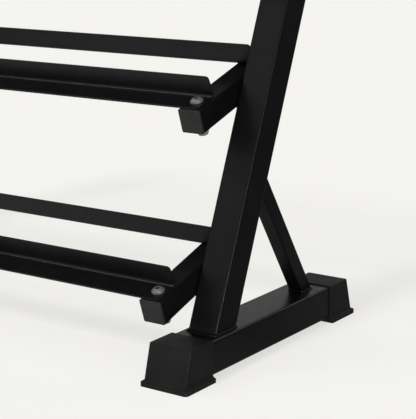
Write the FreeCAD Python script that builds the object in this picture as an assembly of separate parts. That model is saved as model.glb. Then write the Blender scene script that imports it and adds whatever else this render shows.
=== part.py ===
import FreeCAD, Part
import math
import os

# Three-tier dumbbell rack: two welded end frames joined by six bolted angle rails.
# Each end frame is a foot tube, a leaning upright, a rear brace and three tilted arms.
# A pair of angle rails lies on the arms of each tier, and dumbbells rest across the pair.
#
# Frame, in millimetres: X runs along the rails, +Y points to the rack's back and +Z up.
# The origin is on the floor, at the middle of the footprint. The rack mirrors about X = 0.

Vector = FreeCAD.Vector
X_AXIS = Vector(1, 0, 0)
Y_AXIS = Vector(0, 1, 0)
Z_AXIS = Vector(0, 0, 1)
ORIGIN = Vector(0, 0, 0)

# ---------------------------------------------------------------- driving dimensions
SPAN = 960.0                 # between the two uprights' inner faces

FOOT_WIDTH = 70.0            # foot tube, across X
FOOT_TOP = 60.0              # height of the foot tube's top face
FOOT_HEIGHT = 52.0
FOOT_WALL = 2.0
FOOT_CORNER = 4.0
FOOT_HALF = 219.5            # from the middle to the top front edge of a foot cover
TUBE_INSET = 3.0             # the foot tube stops this far inside the covers

UPRIGHT = 50.0               # square tube
UPRIGHT_WALL = 2.0
UPRIGHT_CORNER = 3.2
UPRIGHT_Y = -142.5           # front face where it meets the foot tube's top
UPRIGHT_LENGTH = 740.0       # along the front face
LEAN = 22.5                  # degrees, backwards from vertical

BRACE = 25.0                 # square tube
BRACE_WALL = 1.5
BRACE_CORNER = 2.4
BRACE_Y = 117.5              # front face where it meets the foot tube's top
BRACE_LEAN = 32.5            # degrees, forwards from vertical

ARM = 38.0                   # square tube
ARM_WALL = 2.0
ARM_CORNER = 3.0
ARM_LENGTH = 208.0           # with both caps
TILT = 18.0                  # degrees, the arms and rails drop towards the front
TIERS = {"lower": (-209.0, 118.0), "middle": (-109.0, 380.5), "upper": (-9.0, 643.0)}
# each tier's (y, z) is the front end of its arms' top face

RAIL_END_GAP = 3.0           # between a rail's end and the upright
RAIL_THICKNESS = 3.0
RAIL_BEND = 4.0              # inside radius of the bend
FLANGE = 42.0                # width of the part that lies on the arms
LIP = 34.0                   # height of the part that stands up
FRONT_RAIL_AT = 4.0          # along the arm, to the flange's free edge
REAR_RAIL_AT = 158.0         # along the arm, to the lip's front face
LIP_CORNER = 5.5             # rounded upper corners of the lip's ends
LIP_SLANT = 3.0              # how far the lip's ends lean in at the top
FLANGE_CORNER = 5.0          # rounded free corners of the flange
BOLT_FROM_EDGE = 20.5        # bolt hole to the flange's free edge
SHEET_EDGE = 0.5             # rounding of the sheet's cut edges

BOLT_R = 5.0                 # M10
HOLE_R = 5.5
HEAD_R = 8.75
HEAD_HEIGHT = 4.0
HEAD_RIM = 1.0
HEAD_BULGE = 0.8             # how far the head's dome stands off its chord
HEAD_FLAT_R = 4.2
SOCKET_ACROSS = 6.0
SOCKET_DEPTH = 2.4
WASHER_R = 10.0
WASHER_THICKNESS = 1.5
WASHER_BORE_R = 5.25
NUT_ACROSS = 17.0
NUT_HEIGHT = 8.0
NUT_BORE_R = 5.05
NUT_COLLAR_R = 7.4
NUT_COLLAR_HEIGHT = 2.6
BOLT_END = 1.5               # thread showing below the nut

COVER_WALL = 1.8
COVER_LENGTH = 53.5          # along the top
COVER_SLOPE = 13.9           # how far the end face runs out from its top to the skirt
COVER_EDGE_R = 2.6           # upright edges of the end face
COVER_TOP_R = 1.2
SKIRT_RIM = 7.0              # height of the skirt's upright rim
SKIRT_FLARE = 5.0
COVE_R = 5.0                 # hollow curve from the wall down to the rim's top
COVE_TURN = 66.0             # degrees
SKIRT_EDGE_R = 0.8
COVER_CAVITY_WALL = 2.6
RIB = 2.2
RIB_X = 12.0
SOLE_RECESS = 2.5
SOLE_RIM = 11.0              # width of the ring that stands on the floor

CAP_FACE = 3.0
CAP_EDGE_R = 1.7
PLUG_DEPTH = 13.0
PLUG_WALL = 2.0
PLUG_GAP = 0.2

WELD_FOOT = 3.2              # leg of the bead round the upright's foot
WELD_BRACE = 2.5
WELD_ARM = 3.0
WELD_TOP = 0.3               # how far a bead's upper edge stands off the tube

# ---------------------------------------------------------------- derived values
FRAME_X = (SPAN + UPRIGHT) / 2
ARM_X = SPAN / 2 - ARM / 2
RAIL_HALF = SPAN / 2 - RAIL_END_GAP
FRONT_BOLT_AT = FRONT_RAIL_AT + BOLT_FROM_EDGE
REAR_BOLT_AT = REAR_RAIL_AT + FLANGE - BOLT_FROM_EDGE
BEYOND = 1000.0              # larger than the rack, for cutting


def sine(degrees):
    return math.sin(math.radians(degrees))


def cosine(degrees):
    return math.cos(math.radians(degrees))


def tangent(degrees):
    return math.tan(math.radians(degrees))


SKIRT_TOP = SKIRT_RIM + COVE_R * sine(COVE_TURN)


# ---------------------------------------------------------------- plane outlines
def rounded_outline(x0, x1, y0, y1, radii, z=0.0):
    """A rectangle's wire; radii are those of its corners, from (x0, y0) counter-clockwise."""
    corners = [(x0, y0), (x1, y0), (x1, y1), (x0, y1)]
    into = [(1, 1), (-1, 1), (-1, -1), (1, -1)]
    edges = []
    previous = None
    first = None
    for index in range(4):
        (x, y), (sx, sy), r = corners[index], into[index], radii[index]
        along_y = Vector(x, y + sy * r, z)
        along_x = Vector(x + sx * r, y, z)
        enter, leave = (along_y, along_x) if index % 2 == 0 else (along_x, along_y)
        if previous is not None:
            edges.append(Part.LineSegment(previous, enter).toShape())
        else:
            first = enter
        if r > 0:
            offset = r * (1 - math.sqrt(0.5))
            middle = Vector(x + sx * offset, y + sy * offset, z)
            edges.append(Part.Arc(enter, middle, leave).toShape())
        previous = leave
    edges.append(Part.LineSegment(previous, first).toShape())
    return Part.Wire(edges)


def rounded_bar(width, depth, radius, z0, z1):
    """A solid bar along Z, centred on the Z axis."""
    outline = rounded_outline(-width / 2, width / 2, -depth / 2, depth / 2, [radius] * 4, z0)
    return Part.Face(outline).extrude(Vector(0, 0, z1 - z0))


def rounded_tube(width, depth, radius, wall, z0, z1):
    outside = rounded_bar(width, depth, radius, z0, z1)
    inside = rounded_bar(width - 2 * wall, depth - 2 * wall, radius - wall, z0 - 1, z1 + 1)
    return outside.cut(inside)


def polygon_prism(points, x0, x1):
    """A prism along X over (y, z) points."""
    corners = [Vector(x0, y, z) for y, z in points]
    face = Part.Face(Part.makePolygon(corners + corners[:1]))
    return face.extrude(Vector(x1 - x0, 0, 0))


# ---------------------------------------------------------------- placing
def placed(shape, tilt, x, y, z):
    """Turn about the X axis through the origin, then move."""
    result = shape.copy()
    result.rotate(ORIGIN, X_AXIS, tilt)
    result.translate(Vector(x, y, z))
    return result


def on_tier(shape, tier):
    """From an arm's own frame (Y along the arm, Z off its top face) to the rack's."""
    y, z = TIERS[tier]
    return placed(shape, TILT, 0, y, z)


def on_upright(shape):
    """From the upright's own frame (Z along it, Y = 0 on its front face) to the rack's."""
    return placed(shape, -LEAN, 0, UPRIGHT_Y, FOOT_TOP)


def sharp_edges(shape):
    """The edges where two faces meet at an angle."""
    found = []
    for edge in shape.Edges:
        middle = edge.valueAt((edge.FirstParameter + edge.LastParameter) / 2)
        normals = []
        for face in shape.ancestorsOfType(edge, Part.Face):
            u, v = face.Surface.parameter(middle)
            normals.append(face.normalAt(u, v))
        if len(normals) == 2 and normals[0].dot(normals[1]) < 0.9:
            found.append(edge)
    return found


def mirrored(shape):
    return shape.mirror(ORIGIN, X_AXIS)


def save(name, shape):
    shape.exportStep("parts/" + name + ".step")


def save_pair(name, shape):
    """The shape as modelled is the right one, at +X; its mirror image is the left one."""
    save(name + "_right", shape)
    save(name + "_left", mirrored(shape))


def below_foot_top():
    return Part.makeBox(2 * BEYOND, 2 * BEYOND, BEYOND, Vector(-BEYOND, -BEYOND, FOOT_TOP - BEYOND))


# ---------------------------------------------------------------- end frame tubes
def foot_tube():
    half = FOOT_HALF - TUBE_INSET
    tube = rounded_tube(FOOT_WIDTH, FOOT_HEIGHT, FOOT_CORNER, FOOT_WALL, -half, half)
    return placed(tube, 90, FRAME_X, 0, FOOT_TOP - FOOT_HEIGHT / 2)


def upright_blank():
    """The upright as a solid bar that runs on below the foot tube's top."""
    bar = rounded_bar(UPRIGHT, UPRIGHT, UPRIGHT_CORNER, -UPRIGHT, UPRIGHT_LENGTH)
    bar.translate(Vector(FRAME_X, UPRIGHT / 2, 0))
    return on_upright(bar)


def upright():
    tube = rounded_tube(UPRIGHT, UPRIGHT, UPRIGHT_CORNER, UPRIGHT_WALL,
                        -UPRIGHT, UPRIGHT_LENGTH - CAP_FACE)
    tube.translate(Vector(FRAME_X, UPRIGHT / 2, 0))
    return on_upright(tube).cut(below_foot_top())


def brace_length():
    """Along its front face, to where that face meets the upright's back face."""
    base = BRACE_Y - UPRIGHT_Y - UPRIGHT / cosine(LEAN)
    return base / (tangent(LEAN) + tangent(BRACE_LEAN)) / cosine(BRACE_LEAN)


def brace_placed(shape):
    return placed(shape, BRACE_LEAN, FRAME_X, BRACE_Y, FOOT_TOP)


def brace_blank():
    bar = rounded_bar(BRACE, BRACE, BRACE_CORNER, -BRACE, brace_length() + 2 * BRACE)
    bar.translate(Vector(0, BRACE / 2, 0))
    return brace_placed(bar)


def rear_brace():
    tube = rounded_tube(BRACE, BRACE, BRACE_CORNER, BRACE_WALL,
                        -BRACE, brace_length() + 2 * BRACE)
    tube.translate(Vector(0, BRACE / 2, 0))
    tube = brace_placed(tube).cut(below_foot_top())
    front_of_back_face = Part.makeBox(2 * BEYOND, BEYOND + UPRIGHT, 2 * BEYOND,
                                      Vector(-BEYOND, -BEYOND, -BEYOND))
    return tube.cut(on_upright(front_of_back_face))


def arm_blank():
    """An arm as a solid bar, in its own frame."""
    bar = rounded_bar(ARM, ARM, ARM_CORNER, CAP_FACE, ARM_LENGTH - CAP_FACE)
    return placed(bar, -90, ARM_X, 0, -ARM / 2)


def arm():
    tube = rounded_tube(ARM, ARM, ARM_CORNER, ARM_WALL, CAP_FACE, ARM_LENGTH - CAP_FACE)
    tube = placed(tube, -90, ARM_X, 0, -ARM / 2)
    for at in (FRONT_BOLT_AT, REAR_BOLT_AT):
        hole = Part.makeCylinder(HOLE_R, ARM + 2, Vector(ARM_X, at, -ARM - 1), Z_AXIS)
        tube = tube.cut(hole)
    return tube


# ---------------------------------------------------------------- rails
def rail_profile():
    """The bent angle's section as (y, z) edges at X = 0: flange at the front, lip behind."""
    t = RAIL_THICKNESS
    inner = RAIL_BEND
    outer = RAIL_BEND + t
    back = FLANGE
    centre_y = back - outer
    centre_z = outer
    slant = math.sqrt(0.5)

    def point(y, z):
        return Vector(0, y, z)

    def arc(radius, start, end):
        middle = point(centre_y + radius * slant, centre_z - radius * slant)
        return Part.Arc(start, middle, end).toShape()

    outer_start = point(centre_y, 0)
    outer_end = point(back, centre_z)
    inner_start = point(centre_y, t)
    inner_end = point(back - t, centre_z)
    path = [outer_end, point(back, LIP), point(back - t, LIP), inner_end]
    edges = [Part.LineSegment(a, b).toShape() for a, b in zip(path, path[1:])]
    edges.append(arc(inner, inner_start, inner_end))
    path = [inner_start, point(0, t), point(0, 0), outer_start]
    edges += [Part.LineSegment(a, b).toShape() for a, b in zip(path, path[1:])]
    edges.append(arc(outer, outer_start, outer_end))
    return Part.Wire(Part.__sortEdges__(edges))


def corner_cutter(radius, depth):
    """What is cut away to round a corner at the origin of a plate that fills -X, -Y."""
    block = Part.makeBox(radius, radius, depth, Vector(-radius, -radius, -depth / 2))
    disc = Part.makeCylinder(radius, depth + 2, Vector(-radius, -radius, -depth / 2 - 1), Z_AXIS)
    return block.cut(disc)


def lip_end_cutter():
    """What is cut off the lip's right end: its edge curves gently in from the bend to the top."""
    low = RAIL_THICKNESS + RAIL_BEND
    rise = LIP - low
    turn = 2 * math.degrees(math.atan2(LIP_SLANT, rise))
    radius = rise / sine(turn)
    start = Vector(RAIL_HALF, 0, low)
    middle = Vector(RAIL_HALF - radius * (1 - cosine(turn / 2)), 0, low + radius * sine(turn / 2))
    end = Vector(RAIL_HALF - LIP_SLANT, 0, LIP)
    corner = Vector(RAIL_HALF, 0, LIP)
    edges = [Part.Arc(start, middle, end).toShape(),
             Part.LineSegment(end, corner).toShape(),
             Part.LineSegment(corner, start).toShape()]
    return Part.Face(Part.Wire(edges)).extrude(Vector(0, FLANGE, 0))


def front_rail():
    """In the arm's frame, with the flange's free edge in front."""
    rail = Part.Face(rail_profile()).extrude(Vector(2 * RAIL_HALF, 0, 0))
    rail.translate(Vector(-RAIL_HALF, 0, 0))
    depth = 4 * RAIL_THICKNESS
    flange_cut = corner_cutter(FLANGE_CORNER, depth)
    flange_cut.rotate(ORIGIN, Z_AXIS, -90)
    flange_cut.translate(Vector(RAIL_HALF, 0, RAIL_THICKNESS / 2))
    lip_cut = lip_end_cutter()
    for cutter in (flange_cut, lip_cut):
        rail = rail.cut(cutter).cut(mirrored(cutter))
    lip_corners = [edge for edge in rail.Edges
                   if edge.BoundBox.ZMin > LIP - 0.01 and edge.BoundBox.XLength < 0.01]
    rail = rail.makeFillet(LIP_CORNER, lip_corners)
    rail = rail.makeFillet(SHEET_EDGE, sharp_edges(rail))
    for x in (-ARM_X, ARM_X):
        hole = Part.makeCylinder(HOLE_R, 3 * RAIL_THICKNESS,
                                 Vector(x, BOLT_FROM_EDGE, -RAIL_THICKNESS), Z_AXIS)
        rail = rail.cut(hole)
    rail.translate(Vector(0, FRONT_RAIL_AT, 0))
    return rail


def rear_rail():
    """The front rail turned round, so that its lip stands in front."""
    rail = front_rail()
    rail.translate(Vector(0, -FRONT_RAIL_AT, 0))
    rail.rotate(ORIGIN, Z_AXIS, 180)
    rail.translate(Vector(0, REAR_RAIL_AT + FLANGE, 0))
    return rail


# ---------------------------------------------------------------- fasteners
def hexagon(across, z):
    corner = across / math.sqrt(3)
    points = [Vector(corner * cosine(60 * k), corner * sine(60 * k), z) for k in range(7)]
    return Part.Face(Part.makePolygon(points))


def bolt():
    """A button-head socket screw: head base at Z = 0, shank down."""
    rim = Vector(HEAD_R, 0, HEAD_RIM)
    top = Vector(HEAD_FLAT_R, 0, HEAD_HEIGHT)
    chord = top - rim
    outwards = Vector(chord.z, 0, -chord.x).normalize()
    bulge = (rim + top) / 2 + outwards * HEAD_BULGE
    grip = 2 * WASHER_THICKNESS + RAIL_THICKNESS + ARM
    tip = -grip - NUT_HEIGHT - NUT_COLLAR_HEIGHT - BOLT_END
    bevel = 0.8
    edges = [
        Part.LineSegment(Vector(0, 0, HEAD_HEIGHT), top).toShape(),
        Part.Arc(top, bulge, rim).toShape(),
        Part.LineSegment(rim, Vector(HEAD_R, 0, 0)).toShape(),
        Part.LineSegment(Vector(HEAD_R, 0, 0), Vector(BOLT_R, 0, 0)).toShape(),
        Part.LineSegment(Vector(BOLT_R, 0, 0), Vector(BOLT_R, 0, tip + bevel)).toShape(),
        Part.LineSegment(Vector(BOLT_R, 0, tip + bevel), Vector(BOLT_R - bevel, 0, tip)).toShape(),
        Part.LineSegment(Vector(BOLT_R - bevel, 0, tip), Vector(0, 0, tip)).toShape(),
        Part.LineSegment(Vector(0, 0, tip), Vector(0, 0, HEAD_HEIGHT)).toShape(),
    ]
    body = Part.Face(Part.Wire(edges)).revolve(ORIGIN, Z_AXIS, 360)
    socket = hexagon(SOCKET_ACROSS, HEAD_HEIGHT - SOCKET_DEPTH)
    return body.cut(socket.extrude(Vector(0, 0, SOCKET_DEPTH + 1)))


def washer():
    ring = Part.makeCylinder(WASHER_R, WASHER_THICKNESS)
    return ring.cut(Part.makeCylinder(WASHER_BORE_R, WASHER_THICKNESS))


def nut():
    """A locking nut: hexagon at the top, round collar below, top face at Z = 0."""
    body = hexagon(NUT_ACROSS, -NUT_HEIGHT).extrude(Vector(0, 0, NUT_HEIGHT))
    round_r = NUT_ACROSS / math.sqrt(3)
    bevel = round_r - NUT_ACROSS / 2
    low = bevel / 2
    blank = Part.makeCylinder(round_r, NUT_HEIGHT - low, Vector(0, 0, low - NUT_HEIGHT))
    blank = blank.fuse(Part.makeCone(NUT_ACROSS / 2, round_r, low, Vector(0, 0, -NUT_HEIGHT)))
    body = body.common(blank)
    collar = Part.makeCylinder(NUT_COLLAR_R, NUT_COLLAR_HEIGHT,
                               Vector(0, 0, -NUT_HEIGHT - NUT_COLLAR_HEIGHT))
    body = body.fuse(collar).removeSplitter()
    bore = Part.makeCylinder(NUT_BORE_R, NUT_HEIGHT + NUT_COLLAR_HEIGHT + 2,
                             Vector(0, 0, -NUT_HEIGHT - NUT_COLLAR_HEIGHT - 1))
    return body.cut(bore)


def at_every_bolt(shape, height):
    """Copies at the twelve bolts, moved off the arm's top face by height."""
    copies = []
    for tier in TIERS:
        for at in (FRONT_BOLT_AT, REAR_BOLT_AT):
            for x in (-ARM_X, ARM_X):
                copy = shape.copy()
                copy.translate(Vector(x, at, height))
                copies.append(on_tier(copy, tier))
    return copies


# ---------------------------------------------------------------- plastic parts
def cover_outline(grow, y_front, z):
    """The cover's plan at one height: rounded at the end face, square where the tube enters."""
    half = FOOT_WIDTH / 2 + COVER_WALL + grow
    r = COVER_EDGE_R + grow / 2
    return rounded_outline(-half, half, y_front, COVER_LENGTH, [r, r, 0, 0], z)


def end_bays(top):
    """The hollows between the tube's end and the sloping end wall, with two ribs between them."""
    def inner_face(z):
        return COVER_CAVITY_WALL - COVER_SLOPE * (top - z) / (top - SKIRT_TOP)

    low = FOOT_TOP - FOOT_HEIGHT + COVER_CAVITY_WALL
    high = FOOT_TOP - COVER_WALL
    back = TUBE_INSET + 0.5
    wedge = [(back, low), (inner_face(low), low), (inner_face(high), high), (back, high)]
    side = FOOT_WIDTH / 2 - COVER_CAVITY_WALL
    near = RIB_X - RIB / 2
    far = RIB_X + RIB / 2
    return [polygon_prism(wedge, x0, x1) for x0, x1 in ((-side, -far), (-near, near), (far, side))]


def foot_cover():
    """A boot that slips on the foot tube's front end; the end face's top edge is at Y = 0."""
    top = FOOT_TOP + COVER_WALL
    wall = Part.makeLoft([cover_outline(0, -COVER_SLOPE, SKIRT_TOP), cover_outline(0, 0, top)],
                         True, True)
    flared_front = -COVER_SLOPE - SKIRT_FLARE
    cove = []
    for step in range(4):
        turn = COVE_TURN * step / 3
        grow = COVE_R * (1 - cosine(turn))
        height = SKIRT_TOP - COVE_R * sine(turn)
        cove.append(cover_outline(grow, -COVER_SLOPE - grow, height))
    skirt = Part.makeLoft(cove, True, False)
    rim = Part.Face(cover_outline(SKIRT_FLARE, flared_front, 0)).extrude(Vector(0, 0, SKIRT_RIM))
    rim_edges = [edge for edge in rim.Edges
                 if edge.BoundBox.ZMin > SKIRT_RIM - 0.01 and edge.CenterOfMass.y < COVER_LENGTH - 1]
    rim = rim.makeFillet(SKIRT_EDGE_R, rim_edges)
    body = wall.fuse([skirt, rim]).removeSplitter()
    top_rim = [edge for edge in body.Edges
               if edge.BoundBox.ZMin > top - 0.01 and edge.CenterOfMass.y < COVER_LENGTH - 1]
    body = body.makeFillet(COVER_TOP_R, top_rim)

    pocket = rounded_bar(FOOT_WIDTH, FOOT_HEIGHT, FOOT_CORNER, TUBE_INSET, COVER_LENGTH + 1)
    pocket = placed(pocket, -90, 0, 0, FOOT_TOP - FOOT_HEIGHT / 2)
    body = body.cut(pocket)

    for bay in end_bays(top):
        body = body.cut(bay)

    half = FOOT_WIDTH / 2 + COVER_WALL + SKIRT_FLARE - SOLE_RIM
    recess = rounded_outline(-half, half, flared_front + SOLE_RIM, COVER_LENGTH - SOLE_RIM,
                             [COVER_EDGE_R] * 4, -1)
    return body.cut(Part.Face(recess).extrude(Vector(0, 0, 1 + SOLE_RECESS)))


def plug_cap(size, corner, wall):
    """An end cap for a square tube along Z: the face's outside is at Z = 0, the plug below."""
    face = rounded_bar(size, size, corner, -CAP_FACE, 0)
    rim = [edge for edge in face.Edges if edge.BoundBox.ZMin > -0.01]
    face = face.makeFillet(CAP_EDGE_R, rim)
    plug = size - 2 * wall - 2 * PLUG_GAP
    plug_corner = max(corner - wall - PLUG_GAP, 0.6)
    sleeve = rounded_tube(plug, plug, plug_corner + PLUG_WALL, PLUG_WALL,
                          -CAP_FACE - PLUG_DEPTH, -CAP_FACE)
    return face.fuse(sleeve)


def upright_cap():
    cap = plug_cap(UPRIGHT, UPRIGHT_CORNER, UPRIGHT_WALL)
    cap.translate(Vector(FRAME_X, UPRIGHT / 2, UPRIGHT_LENGTH))
    return on_upright(cap)


def arm_cap(at_front):
    cap = plug_cap(ARM, ARM_CORNER, ARM_WALL)
    turn, at = (90, 0) if at_front else (-90, ARM_LENGTH)
    return placed(cap, turn, ARM_X, at, -ARM / 2)


# ---------------------------------------------------------------- weld beads
def weld_ring(width, depth, shift, leg, corner):
    """A bead round a tube that stands on the plane Z = 0.

    The tube's section there is width by depth, from Y = 0 on, and it moves along Y by
    shift for each millimetre of height.
    """
    def outline(grow, z):
        move = shift * z
        return rounded_outline(-width / 2 - grow, width / 2 + grow, move - grow,
                               move + depth + grow, [corner + grow] * 4, z)

    return Part.makeLoft([outline(leg, 0), outline(WELD_TOP, leg)], True, True)


def foot_welds():
    upright_bead = weld_ring(UPRIGHT, UPRIGHT / cosine(LEAN), tangent(LEAN), WELD_FOOT,
                             UPRIGHT_CORNER)
    upright_bead.translate(Vector(FRAME_X, UPRIGHT_Y, FOOT_TOP))
    brace_bead = weld_ring(BRACE, BRACE / cosine(BRACE_LEAN), -tangent(BRACE_LEAN), WELD_BRACE,
                           BRACE_CORNER)
    brace_bead.translate(Vector(FRAME_X, BRACE_Y, FOOT_TOP))
    return [upright_bead.cut(upright_blank()), brace_bead.cut(brace_blank())]


def brace_top_weld():
    """Round the brace's upper end, on the upright's back face."""
    meeting = LEAN + BRACE_LEAN
    depth = BRACE / sine(meeting)
    front_corner = brace_length() * cosine(BRACE_LEAN) / cosine(LEAN)
    # heights along the upright are measured on its front face, which is square to its ends
    start = front_corner - UPRIGHT * tangent(LEAN) + depth
    bead = weld_ring(BRACE, depth, 1 / tangent(meeting), WELD_BRACE, BRACE_CORNER)
    bead.rotate(ORIGIN, X_AXIS, -90)
    bead.translate(Vector(FRAME_X, UPRIGHT, start))
    return on_upright(bead).cut(brace_blank())


def arm_reach(tier, depth, height):
    """Where a line at one height over the arm's top face passes a depth in the upright."""
    y, z = TIERS[tier]
    offset = cosine(LEAN) * (y - UPRIGHT_Y) - sine(LEAN) * (z - FOOT_TOP)
    turn = LEAN + TILT
    return (depth - offset + height * sine(turn)) / cosine(turn)


def arm_welds(tier):
    """Three beads: over and under the arm, and along the upright's inner back edge."""
    beads = []
    face_x = SPAN / 2
    leg = WELD_ARM
    blank = arm_blank()
    before_rail = REAR_RAIL_AT - RAIL_THICKNESS
    before_cap = ARM_LENGTH - 2 * CAP_FACE
    for height, side, stop in ((0, 1, before_rail), (-ARM, -1, before_cap)):
        start = arm_reach(tier, UPRIGHT_CORNER, height)
        end = min(arm_reach(tier, UPRIGHT - UPRIGHT_CORNER, height), stop)
        section = [(0, leg), (-leg, WELD_TOP), (-leg, -ARM_CORNER), (0, -ARM_CORNER)]
        corners = [Vector(face_x + x, start, height + side * z) for x, z in section]
        face = Part.Face(Part.makePolygon(corners + corners[:1]))
        beads.append(on_tier(face.extrude(Vector(0, end - start, 0)).cut(blank), tier))
    band = Part.makeBox(2 * ARM, BEYOND, ARM - 2 * leg, Vector(face_x - ARM, 0, leg - ARM))
    band = on_tier(band, tier)
    section = [(0, leg), (leg, WELD_TOP), (leg, -UPRIGHT_CORNER), (0, -UPRIGHT_CORNER)]
    corners = [Vector(face_x + x, UPRIGHT + y, 0) for x, y in section]
    face = Part.Face(Part.makePolygon(corners + corners[:1]))
    bead = on_upright(face.extrude(Vector(0, 0, UPRIGHT_LENGTH - CAP_FACE)))
    return beads + bead.common(band).cut(upright_blank()).Solids


# ---------------------------------------------------------------- the rack
def main():
    os.makedirs("parts", exist_ok=True)

    save_pair("foot_tube", foot_tube())
    save_pair("upright", upright())
    save_pair("rear_brace", rear_brace())
    save_pair("upright_cap", upright_cap())

    cover = foot_cover()
    front_cover = cover.copy()
    front_cover.translate(Vector(FRAME_X, -FOOT_HALF, 0))
    rear_cover = cover.mirror(ORIGIN, Y_AXIS)
    rear_cover.translate(Vector(FRAME_X, FOOT_HALF, 0))
    save_pair("front_foot_cover", front_cover)
    save_pair("rear_foot_cover", rear_cover)

    beads = foot_welds() + [brace_top_weld()]
    for tier in TIERS:
        save_pair(tier + "_arm", on_tier(arm(), tier))
        save_pair(tier + "_arm_front_cap", on_tier(arm_cap(True), tier))
        save_pair(tier + "_arm_rear_cap", on_tier(arm_cap(False), tier))
        save(tier + "_front_rail", on_tier(front_rail(), tier))
        save(tier + "_rear_rail", on_tier(rear_rail(), tier))
        beads += arm_welds(tier)
    save_pair("weld_beads", Part.Compound(beads))

    under_arm = -ARM
    save("rail_bolts", Part.Compound(at_every_bolt(bolt(), RAIL_THICKNESS + WASHER_THICKNESS)))
    save("head_washers", Part.Compound(at_every_bolt(washer(), RAIL_THICKNESS)))
    save("nut_washers", Part.Compound(at_every_bolt(washer(), under_arm - WASHER_THICKNESS)))
    save("lock_nuts", Part.Compound(at_every_bolt(nut(), under_arm - WASHER_THICKNESS)))


main()
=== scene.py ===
import bmesh
import bpy
import math
from mathutils import Matrix, Vector, noise

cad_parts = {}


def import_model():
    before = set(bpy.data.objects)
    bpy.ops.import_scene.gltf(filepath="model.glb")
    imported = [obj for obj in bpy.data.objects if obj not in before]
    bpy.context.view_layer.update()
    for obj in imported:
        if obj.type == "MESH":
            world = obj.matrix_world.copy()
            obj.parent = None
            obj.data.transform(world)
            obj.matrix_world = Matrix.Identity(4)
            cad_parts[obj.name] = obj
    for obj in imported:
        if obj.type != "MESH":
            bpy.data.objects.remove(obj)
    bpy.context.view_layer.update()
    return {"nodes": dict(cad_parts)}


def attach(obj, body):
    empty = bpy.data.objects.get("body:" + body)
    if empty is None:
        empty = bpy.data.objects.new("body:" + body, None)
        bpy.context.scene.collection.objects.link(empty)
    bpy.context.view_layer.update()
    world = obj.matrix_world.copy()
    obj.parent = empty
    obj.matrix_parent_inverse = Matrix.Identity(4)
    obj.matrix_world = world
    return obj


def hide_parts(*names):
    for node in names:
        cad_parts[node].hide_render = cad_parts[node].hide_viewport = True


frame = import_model()

# The looks of a three-tier dumbbell rack: black powder-coated steel, moulded plastic
# covers and caps, and bright zinc bolts. Everything is in metres, in the CAD's frame:
# X runs along the rails, +Y points to the rack's back and +Z up.

scene = bpy.context.scene
scene.view_settings.view_transform = "Standard"


# ---------------------------------------------------------------- material helpers
class Graph:
    """Builds one material's nodes around its Principled BSDF."""

    def __init__(self, name):
        self.material = bpy.data.materials.new(name)
        self.material.use_nodes = True
        self.tree = self.material.node_tree
        self.shader = self.tree.nodes["Principled BSDF"]
        self.place = self.node("ShaderNodeTexCoord").outputs["Object"]

    def node(self, kind, **settings):
        made = self.tree.nodes.new(kind)
        for key, value in settings.items():
            setattr(made, key, value)
        return made

    def join(self, source, target):
        if hasattr(source, "links"):
            self.tree.links.new(source, target)
        else:
            target.default_value = source

    def noise(self, scale, detail=2.0, rough=0.5, stretch=(1, 1, 1)):
        made = self.node("ShaderNodeTexNoise")
        place = self.place
        if stretch != (1, 1, 1):
            mapping = self.node("ShaderNodeMapping")
            mapping.inputs["Scale"].default_value = stretch
            self.join(place, mapping.inputs["Vector"])
            place = mapping.outputs["Vector"]
        self.join(place, made.inputs["Vector"])
        made.inputs["Scale"].default_value = scale
        made.inputs["Detail"].default_value = detail
        made.inputs["Roughness"].default_value = rough
        return made.outputs["Fac"]

    def spread(self, value, low, high, to_low=0.0, to_high=1.0):
        made = self.node("ShaderNodeMapRange")
        made.clamp = True
        self.join(value, made.inputs["Value"])
        for key, number in (("From Min", low), ("From Max", high),
                            ("To Min", to_low), ("To Max", to_high)):
            made.inputs[key].default_value = number
        return made.outputs["Result"]

    def math(self, operation, a, b=0.0):
        made = self.node("ShaderNodeMath", operation=operation)
        self.join(a, made.inputs[0])
        self.join(b, made.inputs[1])
        return made.outputs[0]

    def blend(self, share, a, b):
        made = self.node("ShaderNodeMix", data_type="RGBA")
        self.join(share, made.inputs[0])
        for colour, socket in ((a, made.inputs[6]), (b, made.inputs[7])):
            if isinstance(colour, tuple):
                colour = (*colour, 1.0)
            self.join(colour, socket)
        return made.outputs[2]

    def edges(self, radius, low, high):
        """1 along edges and corners, 0 on flats."""
        bevel = self.node("ShaderNodeBevel", samples=4)
        bevel.inputs["Radius"].default_value = radius
        flat = self.node("ShaderNodeNewGeometry").outputs["True Normal"]
        dot = self.node("ShaderNodeVectorMath", operation="DOT_PRODUCT")
        self.join(bevel.outputs["Normal"], dot.inputs[0])
        self.join(flat, dot.inputs[1])
        return self.spread(self.math("SUBTRACT", 1.0, dot.outputs["Value"]), low, high)

    def recess(self, distance, low, high):
        """1 deep in sockets and corners, 0 in the open."""
        made = self.node("ShaderNodeAmbientOcclusion", samples=6, only_local=True)
        made.inputs["Distance"].default_value = distance
        return self.math("SUBTRACT", 1.0, self.spread(made.outputs["AO"], low, high))

    def upward(self, low, high):
        """1 on faces that look up, 0 on the others."""
        normal = self.node("ShaderNodeNewGeometry").outputs["Normal"]
        split = self.node("ShaderNodeSeparateXYZ")
        self.join(normal, split.inputs[0])
        return self.spread(split.outputs["Z"], low, high)

    def bump(self, height, strength, distance, under=None):
        made = self.node("ShaderNodeBump")
        made.inputs["Strength"].default_value = strength
        made.inputs["Distance"].default_value = distance
        self.join(height, made.inputs["Height"])
        if under is not None:
            self.join(under, made.inputs["Normal"])
        return made.outputs["Normal"]

    def finish(self, colour, roughness, normal, **constants):
        self.join(colour, self.shader.inputs["Base Color"])
        self.join(roughness, self.shader.inputs["Roughness"])
        self.join(normal, self.shader.inputs["Normal"])
        for key, value in constants.items():
            self.shader.inputs[key.replace("_", " ")].default_value = value
        return self.material


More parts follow.
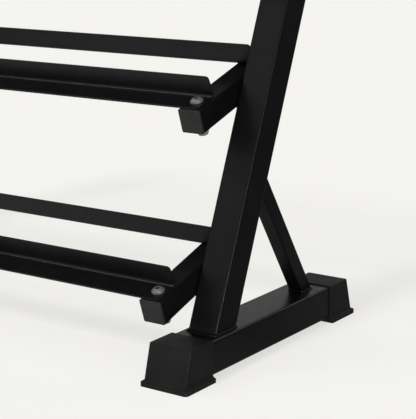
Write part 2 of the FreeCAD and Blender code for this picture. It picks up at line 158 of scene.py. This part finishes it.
def powder_coat():
    g = Graph("black_powder_coat")
    colour = g.blend(g.spread(g.noise(14, 3), 0.35, 0.65),
                     (0.0028, 0.0028, 0.0030), (0.0045, 0.0045, 0.0047))
    edge = g.edges(0.0012, 0.02, 0.35)
    # Edges and corners lighter: partly worn-thin coating, partly a painted highlight along them.
    colour = g.blend(g.math("MULTIPLY", edge, 0.5), colour, (0.018, 0.018, 0.019))
    dust = g.math("MULTIPLY", g.upward(0.75, 0.98), g.spread(g.noise(55, 5, 0.65), 0.40, 0.75))
    colour = g.blend(g.math("MULTIPLY", dust, 0.25), colour, (0.020, 0.020, 0.020))
    rough = g.spread(g.noise(70, 4, 0.6), 0.3, 0.7, 0.29, 0.39)
    rough = g.math("SUBTRACT", rough, g.math("MULTIPLY", edge, 0.08))
    peel = g.bump(g.noise(420, 1.5), 0.24, 0.0004)
    grain = g.bump(g.noise(1500, 1.0), 0.22, 0.0002, peel)
    return g.finish(colour, rough, grain, Specular_IOR_Level=0.5)


def moulded_plastic(name, dark, light):
    g = Graph(name)
    colour = g.blend(g.spread(g.noise(22, 3), 0.35, 0.65), (dark,) * 3, (light,) * 3)
    edge = g.edges(0.0015, 0.02, 0.35)
    # Painted highlight: edges and rims lighter, up to five times the plastic's light tone.
    colour = g.blend(g.math("MULTIPLY", edge, 0.6), colour, (5 * light,) * 3)
    rough = g.spread(g.noise(45, 4, 0.6), 0.3, 0.7, 0.48, 0.60)
    grain = g.bump(g.noise(2200, 1.0), 0.30, 0.0002)
    return g.finish(colour, rough, grain, Specular_IOR_Level=0.33)


def zinc():
    g = Graph("bright_zinc")
    colour = g.blend(g.spread(g.noise(260, 3), 0.35, 0.65),
                     (0.52, 0.54, 0.56), (0.63, 0.62, 0.60))
    edge = g.edges(0.0005, 0.02, 0.3)
    # Painted highlight: edges of the zinc parts lighter.
    colour = g.blend(g.math("MULTIPLY", edge, 0.5), colour, (0.82, 0.82, 0.81))
    # Painted shade: sockets and corners darkened by an occlusion mask.
    colour = g.blend(g.recess(0.004, 0.45, 0.95), colour, (0.06, 0.06, 0.06))
    rough = g.spread(g.noise(900, 4, 0.6), 0.3, 0.7, 0.48, 0.62)
    lines = g.bump(g.noise(1400, 2.0, stretch=(1, 6, 1)), 0.10, 0.0001)
    return g.finish(colour, rough, lines, Metallic=0.9)


def nylon():
    g = Graph("natural_nylon")
    colour = g.blend(g.spread(g.noise(800, 3), 0.35, 0.65),
                     (0.50, 0.48, 0.42), (0.62, 0.60, 0.54))
    rough = g.spread(g.noise(600, 2), 0.3, 0.7, 0.40, 0.55)
    return g.finish(colour, rough, g.bump(g.noise(3000, 1.0), 0.2, 0.0001))


materials = {"powder_coat": powder_coat(),
             "moulded_plastic": moulded_plastic("black_moulded_plastic", 0.0090, 0.0125),
             # Painted light: the front-facing caps get a lighter copy of the same black plastic.
             "lit_cap_plastic": moulded_plastic("lit_cap_plastic", 0.021, 0.028),
             "zinc": zinc(), "nylon": nylon()}
for name, node in frame["nodes"].items():
    for slot in node.material_slots:
        kind = slot.material.name.split(".")[0]
        # Caps take the lighter, painted-light copy of the plastic.
        slot.material = materials["lit_cap_plastic" if "cap" in name else kind]


def add_piece(name, mesh, material):
    """Turns a bmesh into a smooth-shaded piece that rides on the rack."""
    bmesh.ops.recalc_face_normals(mesh, faces=mesh.faces)
    data = bpy.data.meshes.new(name)
    mesh.to_mesh(data)
    mesh.free()
    data.shade_smooth()
    data.materials.append(materials[material])
    piece = bpy.data.objects.new(name, data)
    scene.collection.objects.link(piece)
    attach(piece, "root")
    return piece


def join_rings(mesh, near, far):
    """Faces between two closed rings of vertices."""
    size = len(near)
    for i in range(size):
        j = (i + 1) % size
        mesh.faces.new((near[i], near[j], far[j], far[i]))


# ---------------------------------------------------------------- sizes, in millimetres
MM = 0.001
SPAN = 960.0                 # between the two uprights' inner faces
FOOT_TOP = 60.0
UPRIGHT = 50.0
UPRIGHT_CORNER = 3.2
UPRIGHT_Y = -142.5           # front face where it meets the foot tube's top
LEAN = math.radians(22.5)
BRACE = 25.0
BRACE_CORNER = 2.4
BRACE_Y = 117.5
BRACE_LEAN = math.radians(32.5)
ARM = 38.0
ARM_LENGTH = 208.0
ARM_CORNER = 3.0
TILT = math.radians(18.0)
TIERS = {"lower": (-209.0, 118.0), "middle": (-109.0, 380.5), "upper": (-9.0, 643.0)}
REAR_RAIL_AT = 158.0
RAIL_THICKNESS = 3.0
CAP_FACE = 3.0
WELD_FOOT = 3.2
WELD_BRACE = 2.5
WELD_ARM = 3.0
FRAME_X = (SPAN + UPRIGHT) / 2
ARM_X = SPAN / 2 - ARM / 2

BOLT_R = 5.0
BOLTS_AT = (24.5, 179.5)     # along the arm
WASHER_THICKNESS = 1.5
NUT_HEIGHT = 8.0
NUT_COLLAR_HEIGHT = 2.6
NUT_END = -ARM - WASHER_THICKNESS - NUT_HEIGHT - NUT_COLLAR_HEIGHT
THREAD_PITCH = 1.5
THREAD_DEPTH = 0.45
THREAD_ROOT = 0.2            # how far the thread's foot lies inside the bolt
THREAD_TURNS = 1.15

BEAD_STEP = 0.55             # between a bead's sections
BEAD_SINK = 0.6              # how far its root lies under the surface
BEAD_BULGE = 0.20            # these three are shares of the bead's leg
RIPPLE_HEIGHT = 0.17
BEAD_UNEVEN = 0.24
RIPPLE_PITCH = 2.7
RIPPLE_SKEW = 0.22           # how far a ripple trails in the middle, in pitches


# ---------------------------------------------------------------- weld beads
def straight(start, end):
    """Evenly spaced points from start to end, both included."""
    count = max(2, math.ceil((end - start).length / BEAD_STEP))
    return [start.lerp(end, i / count) for i in range(count + 1)]


def ring_path(width, depth, corner):
    """Points and outward directions round a rounded rectangle, from its front right corner."""
    path = []
    centres = [(width / 2 - corner, corner, -90), (width / 2 - corner, depth - corner, 0),
               (corner - width / 2, depth - corner, 90), (corner - width / 2, corner, 180)]
    for index, (x, y, first) in enumerate(centres):
        for step in range(7):
            turn = math.radians(first + 15 * step)
            out = Vector((math.cos(turn), math.sin(turn), 0))
            path.append((Vector((x, y, 0)) + corner * out, out))
        end = path[-1][0]
        next_x, next_y, next_first = centres[(index + 1) % 4]
        turn = math.radians(next_first)
        start = Vector((next_x + corner * math.cos(turn), next_y + corner * math.sin(turn), 0))
        out = path[-1][1]
        path += [(point, out) for point in straight(end, start)[1:-1]]
    return path


def bead_section(out, up, leg, sink, phase, swell):
    """One section of a bead: a bulging, rippled face between two plates, and its root."""
    steps = 8
    section = []
    for i in range(steps + 1):
        turn = math.pi / 2 * i / steps
        across, rise = math.cos(turn), math.sin(turn)
        flat = 1 / (across + rise)
        middle = math.sin(2 * turn)
        bulge = BEAD_BULGE * middle
        crest = (phase + RIPPLE_SKEW * middle) % 1.0
        ripple = RIPPLE_HEIGHT * (1 - (2 * crest - 1) ** 2) * middle
        reach = leg * swell * (flat + bulge + ripple)
        section.append(out * across * reach + up * rise * reach)
    section.append(-up * sink - out * 0.4)
    section.append(out * leg * 0.5 - up * sink)
    return section


def sweep_bead(mesh, path, leg, sink, closed, seed):
    """Adds a bead to the bmesh. The path is of (point, out, up) in millimetres."""
    rings = []
    length = 0.0
    for index, (point, out, up) in enumerate(path):
        if index:
            length += (point - path[index - 1][0]).length
        wander = noise.noise(Vector((length / 9.0, seed, 0.5)))
        phase = length / RIPPLE_PITCH + 0.5 * noise.noise(Vector((length / 6.0, seed, 7.5)))
        swell = 1.0 + BEAD_UNEVEN * wander
        if not closed:
            ends = min(length, sum_length(path) - length)
            swell *= min(1.0, 0.55 + 0.45 * ends / leg)
        section = bead_section(out, up, leg, sink, phase, swell)
        rings.append([mesh.verts.new((point + offset) * MM) for offset in section])
    pairs = list(zip(rings, rings[1:]))
    if closed:
        pairs.append((rings[-1], rings[0]))
    for near, far in pairs:
        join_rings(mesh, near, far)
    if not closed:
        mesh.faces.new(rings[0])
        mesh.faces.new(reversed(rings[-1]))


def sum_length(path):
    return sum((b[0] - a[0]).length for a, b in zip(path, path[1:]))


def from_upright(x, y, z):
    """A point or direction given across, behind and along the upright's front face."""
    return Vector((x, y * math.cos(LEAN) + z * math.sin(LEAN),
                   z * math.cos(LEAN) - y * math.sin(LEAN)))


def from_tier(tier, x, along, height):
    y, z = TIERS[tier]
    return Vector((x, y + along * math.cos(TILT) - height * math.sin(TILT),
                   z + along * math.sin(TILT) + height * math.cos(TILT)))


UPRIGHT_FOOT = Vector((FRAME_X, UPRIGHT_Y, FOOT_TOP))
UPWARDS = from_upright(0, 0, 1)
BRACE_AXIS = Vector((0, -math.sin(BRACE_LEAN), math.cos(BRACE_LEAN)))


def arm_reach(tier, depth, height):
    """Where a line at one height over the arm's top face passes a depth in the upright."""
    y, z = TIERS[tier]
    offset = math.cos(LEAN) * (y - UPRIGHT_Y) - math.sin(LEAN) * (z - FOOT_TOP)
    turn = LEAN + TILT
    return (depth - offset + height * math.sin(turn)) / math.cos(turn)


def foot_beads(mesh):
    for width, corner, y, lean, leg, seed in (
            (UPRIGHT, UPRIGHT_CORNER, UPRIGHT_Y, LEAN, WELD_FOOT, 1.5),
            (BRACE, BRACE_CORNER, BRACE_Y, -BRACE_LEAN, WELD_BRACE, 4.5)):
        axis = Vector((0, math.sin(lean), math.cos(lean)))
        base = Vector((FRAME_X, y, FOOT_TOP))
        ring = ring_path(width, width / math.cos(lean), corner)
        path = [(base + point, out, axis) for point, out in ring]
        sweep_bead(mesh, path, leg, BEAD_SINK, True, seed)


def brace_top_bead(mesh):
    """Round the brace's upper end, on the upright's back face."""
    meeting = LEAN + BRACE_LEAN
    depth = BRACE / math.sin(meeting)
    gap = BRACE_Y - UPRIGHT_Y
    brace_length = (gap * math.cos(LEAN) - UPRIGHT) / math.sin(meeting)
    front_corner = brace_length * math.cos(BRACE_LEAN) / math.cos(LEAN)
    start = front_corner - UPRIGHT * math.tan(LEAN)
    path = []
    for point, out in ring_path(BRACE, depth, BRACE_CORNER):
        place = UPRIGHT_FOOT + from_upright(point.x, UPRIGHT, start + point.y)
        path.append((place, from_upright(out.x, 0, out.y), -BRACE_AXIS))
    sweep_bead(mesh, path, WELD_BRACE, BEAD_SINK, True, 9.5)


def arm_beads(mesh, tier, seed):
    """Three beads: over and under the arm, and along the upright's inner back edge."""
    face_x = SPAN / 2
    inwards = Vector((-1, 0, 0))
    tier_up = from_tier(tier, 0, 0, 1) - from_tier(tier, 0, 0, 0)
    stops = ((0, 1, REAR_RAIL_AT - RAIL_THICKNESS), (-ARM, -1, ARM_LENGTH - 2 * CAP_FACE))
    for height, side, stop in stops:
        start = arm_reach(tier, UPRIGHT_CORNER, height)
        end = min(arm_reach(tier, UPRIGHT - UPRIGHT_CORNER, height), stop)
        line = straight(from_tier(tier, face_x, start, height),
                        from_tier(tier, face_x, end, height))
        sweep_bead(mesh, [(p, inwards, side * tier_up) for p in line], WELD_ARM, ARM_CORNER,
                   False, seed + height)
    edge = UPRIGHT_FOOT + from_upright(0, UPRIGHT, 0) - from_tier(tier, FRAME_X, 0, 0)
    ends = []
    for height in (WELD_ARM - ARM, -WELD_ARM):
        climb = (height - edge.dot(tier_up)) / UPWARDS.dot(tier_up)
        ends.append(UPRIGHT_FOOT + from_upright(face_x - FRAME_X, UPRIGHT, climb))
    line = straight(ends[0], ends[1])
    sweep_bead(mesh, [(p, Vector((1, 0, 0)), from_upright(0, 1, 0)) for p in line], WELD_ARM,
               UPRIGHT_CORNER, False, seed + 50)


def weld_beads(side):
    mesh = bmesh.new()
    foot_beads(mesh)
    brace_top_bead(mesh)
    for index, tier in enumerate(TIERS):
        arm_beads(mesh, tier, 20.5 + 7 * index)
    if side == "left":
        bmesh.ops.scale(mesh, vec=(-1, 1, 1), verts=mesh.verts)
    piece = add_piece("welds_" + side, mesh, "powder_coat")
    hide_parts("weld_beads_" + side)


for side in ("right", "left"):
    weld_beads(side)


# ---------------------------------------------------------------- nylon rings and bolt threads
def at_every_bolt():
    """Each bolt's place on its arm, as a function from (x, y, height) about the bolt's axis."""
    for tier in TIERS:
        for along in BOLTS_AT:
            for side in (-1, 1):
                yield lambda p, t=tier, s=along, x=side * ARM_X: (
                    from_tier(t, x + p[0], s + p[1], p[2]) * MM)


def turned(mesh, place, profile, steps=40):
    """A ring turned about the bolt's axis from a closed (radius, height) profile."""
    rings = []
    for i in range(steps):
        turn = 2 * math.pi * i / steps
        rings.append([mesh.verts.new(place((r * math.cos(turn), r * math.sin(turn), z)))
                      for r, z in profile])
    for near, far in zip(rings, rings[1:] + rings[:1]):
        join_rings(mesh, near, far)


def nylon_rings():
    """The locking inserts that show under the nuts' collars."""
    mesh = bmesh.new()
    face = NUT_END - 0.25
    profile = [(4.95, NUT_END + 1.5), (4.95, face + 0.1), (5.1, face), (6.3, face),
               (6.55, face + 0.25), (6.55, NUT_END + 1.5)]
    for place in at_every_bolt():
        turned(mesh, place, profile)
    add_piece("nylon_inserts", mesh, "nylon")


def bolt_threads():
    """The last turns of thread, where the bolts come out of the nuts."""
    mesh = bmesh.new()
    steps = 32
    start = NUT_END + 0.6
    last = round(steps * THREAD_TURNS)
    root = BOLT_R - THREAD_ROOT
    for place in at_every_bolt():
        sections = []
        for i in range(last + 1):
            turn = 2 * math.pi * i / steps
            z = start - THREAD_PITCH * i / steps
            fade = min(1.0, i / 6, (last - i) / 6 + 0.05)
            crest = BOLT_R + THREAD_DEPTH * fade
            profile = ((root, 0.62), (crest, 0.08), (crest, -0.08), (root, -0.62))
            sections.append([mesh.verts.new(place((r * math.cos(turn), r * math.sin(turn), z + dz)))
                             for r, dz in profile])
        for near, far in zip(sections, sections[1:]):
            join_rings(mesh, near, far)
        mesh.faces.new(sections[0])
        mesh.faces.new(reversed(sections[-1]))
    piece = add_piece("bolt_threads", mesh, "zinc")


nylon_rings()
bolt_threads()


# ---------------------------------------------------------------- floor, light and camera
PAPER = (1.0, 0.992, 0.958)
GROUND = -0.0002             # the floor lies just under the feet
REFLECTOR = -0.0004
FLOOR_R = 30.0
SWEEP_HEIGHT = 14.0
SWEEP_LEAN = 3.0             # how far the paper wall leans out over that height


def paper_material(name, glow, base):
    """Pale seamless paper, lit from behind as well, so that shadows on it stay faint."""
    g = Graph(name)
    colour = g.blend(g.spread(g.noise(1.3, 3), 0.3, 0.7), tuple(base * c for c in PAPER),
                     tuple(1.02 * base * c for c in PAPER))
    grain = g.bump(g.noise(300, 2.0), 0.05, 0.0002)
    return g.finish(colour, 0.9, grain, Specular_IOR_Level=0.0,
                    Emission_Color=(*PAPER, 1.0), Emission_Strength=glow)


def stage_mesh(name, rings, material):
    """A surface of revolution about Z through (radius, height) rings.

    It is closed with a disc where its first two rings are level.
    """
    steps = 96
    points, faces = [], []
    for radius, height in rings:
        for i in range(steps):
            turn = 2 * math.pi * i / steps
            points.append((radius * math.cos(turn), radius * math.sin(turn), height))
    for ring in range(len(rings) - 1):
        for i in range(steps):
            a, b = ring * steps + i, ring * steps + (i + 1) % steps
            faces.append((a, b, b + steps, a + steps))
    if rings[0][1] == rings[1][1]:
        faces.append(tuple(range(steps)))
    mesh = bpy.data.meshes.new(name)
    mesh.from_pydata(points, [], faces)
    mesh.materials.append(material)
    made = bpy.data.objects.new(name, mesh)
    made.visible_glossy = False
    scene.collection.objects.link(made)
    return made


def glow_material(name, places, reach, near, far):
    """Light that falls off from near to far round each of some places on the floor."""
    g = Graph(name)
    glow = far
    for centre in places:
        mapping = g.node("ShaderNodeMapping", vector_type="POINT")
        mapping.inputs["Location"].default_value = [-c for c in centre]
        g.join(g.place, mapping.inputs["Vector"])
        length = g.node("ShaderNodeVectorMath", operation="LENGTH")
        g.join(mapping.outputs["Vector"], length.inputs[0])
        pool = g.spread(length.outputs["Value"], reach[0], reach[1], near, far)
        glow = g.math("MAXIMUM", pool, glow)
    g.join(glow, g.shader.inputs["Emission Strength"])
    return g.finish((0.0, 0.0, 0.0, 1.0), 1.0, g.node("ShaderNodeNewGeometry").outputs["Normal"],
                    Specular_IOR_Level=0.0, Emission_Color=(1.0, 1.0, 0.99, 1.0))


def studio():
    """The paper floor, the paper wall round it, and a card that only reflections show."""
    stage_mesh("floor", [(1.0, GROUND), (FLOOR_R, GROUND)],
               paper_material("floor_paper", 0.694, 0.33))
    rises = [1 - math.cos(math.radians(6 * i)) for i in range(16)]
    wall = [(FLOOR_R + SWEEP_LEAN * rise, GROUND + SWEEP_HEIGHT * rise) for rise in rises]
    sweep = stage_mesh("sweep", wall, paper_material("sweep_paper", 0.90, 0.0))
    sweep.visible_diffuse = False
    sweep.visible_shadow = False
    card = stage_mesh("reflector", [(1.0, REFLECTOR), (8.0, REFLECTOR)],
                      glow_material("reflector_glow", [(-0.2, -0.9, 0.0), (-0.4, 0.8, 0.0)],
                                    (0.3, 1.3), 0.54, 0.05))
    card.visible_glossy = True
    card.visible_camera = False
    card.visible_diffuse = False
    card.visible_shadow = False


def towards(azimuth, elevation):
    """The direction from the rack to a place; azimuth 0 is the front and 90 the right."""
    a, e = math.radians(azimuth), math.radians(elevation)
    return Vector((math.sin(a) * math.cos(e), -math.cos(a) * math.cos(e), math.sin(e)))


def add_sun(name, azimuth, elevation, width, energy):
    """A sun in that direction; width is how wide it looks, in degrees."""
    data = bpy.data.lights.new(name, "SUN")
    data.energy = energy
    data.angle = math.radians(width)
    made = bpy.data.objects.new(name, data)
    scene.collection.objects.link(made)
    direction = towards(azimuth, elevation)
    made.location = direction * 3
    made.rotation_mode = "QUATERNION"
    made.rotation_quaternion = direction.to_track_quat("Z", "Y")
    return made


def world():
    """A dim room, with a bright wall low down at the back left and a fainter one opposite."""
    made = bpy.data.worlds.new("studio")
    made.use_nodes = True
    tree = made.node_tree
    back = tree.nodes["Background"]
    back.inputs["Color"].default_value = (1.0, 1.0, 0.99, 1.0)
    place = tree.nodes.new("ShaderNodeTexCoord")
    walls = []
    for azimuth, elevation, bright in ((215, 8, 0.42), (25, 14, 0.20)):
        dot = tree.nodes.new("ShaderNodeVectorMath")
        dot.operation = "DOT_PRODUCT"
        tree.links.new(place.outputs["Generated"], dot.inputs[0])
        dot.inputs[1].default_value = towards(azimuth, elevation)
        ramp = tree.nodes.new("ShaderNodeMapRange")
        ramp.interpolation_type = "SMOOTHSTEP"
        tree.links.new(dot.outputs["Value"], ramp.inputs["Value"])
        for key, value in (("From Min", 0.80), ("From Max", 0.98), ("To Min", 0.055),
                           ("To Max", bright)):
            ramp.inputs[key].default_value = value
        walls.append(ramp.outputs["Result"])
    brighter = tree.nodes.new("ShaderNodeMath")
    brighter.operation = "MAXIMUM"
    for wall, socket in zip(walls, brighter.inputs):
        tree.links.new(wall, socket)
    tree.links.new(brighter.outputs["Value"], back.inputs["Strength"])
    scene.world = made


def light():
    """Lamps. The overhead and key ones stay out of reflections, so black stays black."""
    world()
    overhead = add_sun("overhead", -60, 72, 60, 0.5)
    overhead.visible_glossy = False
    key = add_sun("key", -5, 43, 11, 1.4)
    key.visible_glossy = False
    add_sun("front_right", 55, 3, 12, 1.0)
    add_sun("front_left", -36, 22, 50, 0.125)
    add_sun("window", -57, 48, 12, 0.22)
    add_sun("back_fill", 165, 34, 30, 0.16)


CAMERA_AT = Vector((1.6426, -1.7284, 0.7050))
AZIMUTH = 35.32              # degrees, from the front towards the right
PITCH = 13.24                # degrees, looking down
ROLL = -0.55                 # degrees
LENS = 120.62                # on a 36 mm sensor


def camera():
    data = bpy.data.cameras.new("camera")
    data.lens = LENS
    data.sensor_width = 36.0
    data.clip_end = 200.0
    made = bpy.data.objects.new("camera", data)
    scene.collection.objects.link(made)
    back = towards(AZIMUTH, PITCH)
    turn = math.radians(AZIMUTH)
    level = Vector((math.cos(turn), math.sin(turn), 0))
    upright = back.cross(level)
    roll = math.radians(ROLL)
    right = math.cos(roll) * level + math.sin(roll) * upright
    up = math.cos(roll) * upright - math.sin(roll) * level
    made.matrix_world = Matrix((
        (right.x, up.x, back.x, CAMERA_AT.x),
        (right.y, up.y, back.y, CAMERA_AT.y),
        (right.z, up.z, back.z, CAMERA_AT.z),
        (0, 0, 0, 1)))
    scene.camera = made


studio()
light()
camera()
